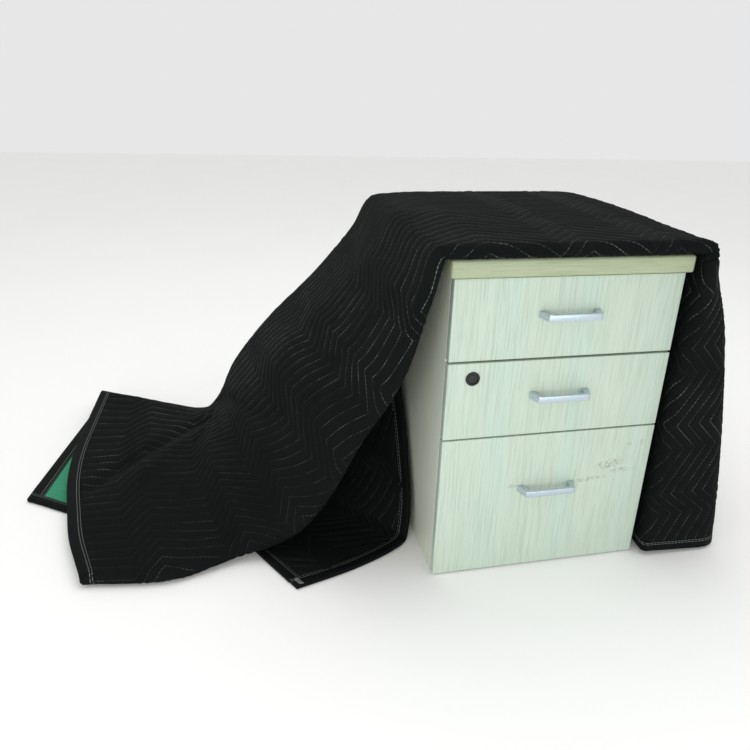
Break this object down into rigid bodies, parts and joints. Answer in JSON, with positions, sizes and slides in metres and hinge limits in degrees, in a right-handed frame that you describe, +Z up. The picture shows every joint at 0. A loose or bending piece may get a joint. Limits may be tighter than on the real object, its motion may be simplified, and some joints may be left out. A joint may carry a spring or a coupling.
{
  "type": "quilted moving pad on a drawer pedestal",
  "caption": "Rectangular quilted moving pad with a taped edge, pleated along its front and thrown over a plain pedestal cabinet with drawers.",
  "frame": {"origin": "on the floor, under the middle of the cabinet's footprint", "axes": "+Z up; the drawers face -Y; +X to the right of someone who faces the drawers"},
  "size_m": [1.5521, 0.9245, 0.6215],
  "materials": {
    "black_face": "black woven cover, quilted with grey thread",
    "green_back": "green woven backing",
    "black_tape": "black woven edge tape with two rows of grey stitching",
    "side_laminate": "pale wood-grain laminate on particle board",
    "top_laminate": "pale wood-grain laminate, grain running across",
    "front_laminate": "pale mint wood-grain laminate, grain running up",
    "pale_metal": "satin grey-blue coat",
    "black_plastic": "black lock barrel"
  },
  "bodies": {
    "root": {"pad_face": "black_face", "pad_backing": "green_back", "binding_front": "black_tape", "binding_rear": "black_tape", "binding_right": "black_tape", "binding_left": "black_tape", "side_left": "side_laminate", "side_right": "side_laminate", "base_board": "side_laminate", "back_board": "side_laminate", "top_slab": "top_laminate", "drawer_front_bottom": "front_laminate", "drawer_front_middle": "front_laminate", "drawer_front_top": "front_laminate", "handle_bottom": "pale_metal", "handle_middle": "pale_metal", "handle_top": "pale_metal", "lock": "black_plastic"}
  },
  "joints": []
}
